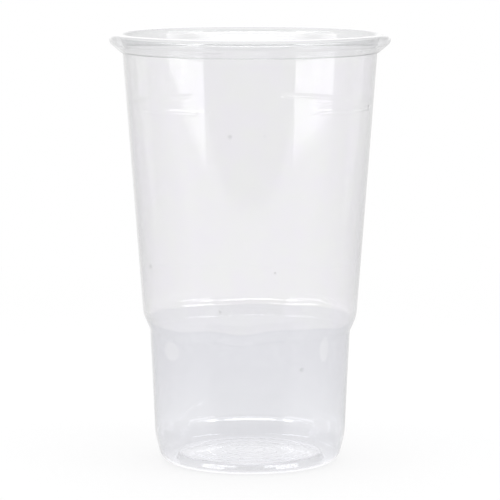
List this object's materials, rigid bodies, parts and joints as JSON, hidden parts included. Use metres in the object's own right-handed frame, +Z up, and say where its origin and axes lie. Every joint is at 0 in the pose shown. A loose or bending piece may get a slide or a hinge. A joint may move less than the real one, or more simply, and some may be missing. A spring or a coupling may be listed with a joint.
{
  "type": "plastic disposable cup",
  "caption": "Clear thin-walled drinking cup with a rolled rim, tapered wall, stacking shoulder, rounded heel and raised base panel.",
  "frame": {"origin": "centre of the standing ring, on the surface the cup stands on", "axes": "+Z up along the cup's axis, out of its mouth; -Y towards the picture's camera"},
  "size_m": [0.095, 0.095, 0.146],
  "materials": {
    "clear_sheet": "clear, glossy, thermoformed"
  },
  "bodies": {
    "root": {"cup": "clear_sheet"}
  },
  "joints": []
}
